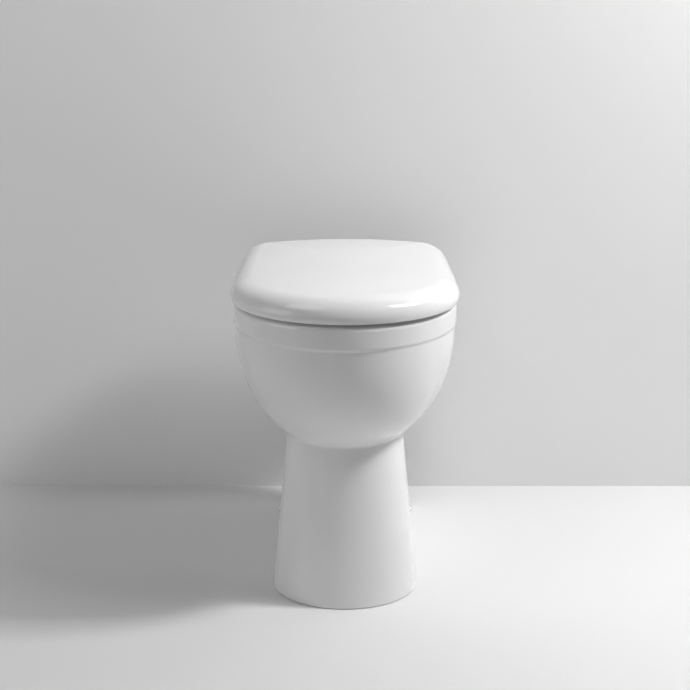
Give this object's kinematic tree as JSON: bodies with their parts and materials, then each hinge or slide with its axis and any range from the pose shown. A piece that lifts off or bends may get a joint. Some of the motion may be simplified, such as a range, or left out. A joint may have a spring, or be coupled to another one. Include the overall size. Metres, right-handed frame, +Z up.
{
  "type": "back-to-wall toilet with soft-close seat",
  "caption": "White back-to-wall toilet of raised height with a D-shaped bowl on a narrow pedestal and a wrap-over soft-close seat.",
  "frame": {"origin": "on the floor, half way between the wall plane and the front of the lid, in the middle plane", "axes": "+X to the right as seen from the front, +Y towards the wall, +Z up"},
  "size_m": [0.356, 0.507, 0.523],
  "materials": {
    "vitreous_china": "white fired glaze, high gloss",
    "moulded_duroplast": "white moulded thermoset, polished",
    "moulded_nylon": "white injection moulding, satin",
    "soft_buffer": "translucent soft moulding",
    "damper_case": "dark grey moulding",
    "stainless_steel": "turned and brushed",
    "bright_chrome": "polished plating",
    "fixing_rubber": "grey moulded rubber"
  },
  "bodies": {
    "pan_body": {"pan": "vitreous_china", "hinge_barrel_left": "moulded_nylon", "hinge_barrel_right": "moulded_nylon", "ring_damper": "damper_case", "lid_damper": "damper_case", "hinge_pin_left": "stainless_steel", "hinge_pin_right": "stainless_steel", "hinge_post_left": "stainless_steel", "hinge_post_right": "stainless_steel", "base_plate_left": "stainless_steel", "base_plate_right": "stainless_steel", "base_gasket_left": "fixing_rubber", "base_gasket_right": "fixing_rubber", "hinge_cover_left": "bright_chrome", "hinge_cover_right": "bright_chrome", "fixing_stud_left": "stainless_steel", "fixing_stud_right": "stainless_steel", "fixing_cone_left": "fixing_rubber", "fixing_cone_right": "fixing_rubber", "fixing_washer_left": "stainless_steel", "fixing_washer_right": "stainless_steel", "wing_nut_left": "moulded_nylon", "wing_nut_right": "moulded_nylon", "floor_bracket_left": "moulded_nylon", "floor_bracket_right": "moulded_nylon", "side_screw_left": "bright_chrome", "side_screw_right": "bright_chrome", "screw_cup_left": "bright_chrome", "screw_cup_right": "bright_chrome"},
    "ring_body": {"seat_ring": "moulded_duroplast", "lid_buffers": "soft_buffer", "ring_buffers": "soft_buffer", "ring_damper_shaft": "stainless_steel"},
    "lid_body": {"lid": "moulded_duroplast", "lid_damper_shaft": "stainless_steel"}
  },
  "joints": [
    {"name": "seat_hinge", "type": "hinge", "parent": "pan_body", "child": "ring_body", "pos_m": [0, 0.1735, 0.506], "axis": [-1, 0, 0], "range_deg": [0, 92]},
    {"name": "lid_hinge", "type": "hinge", "parent": "ring_body", "child": "lid_body", "pos_m": [0, 0.1735, 0.506], "axis": [-1, 0, 0], "range_deg": [0, 94]}
  ]
}
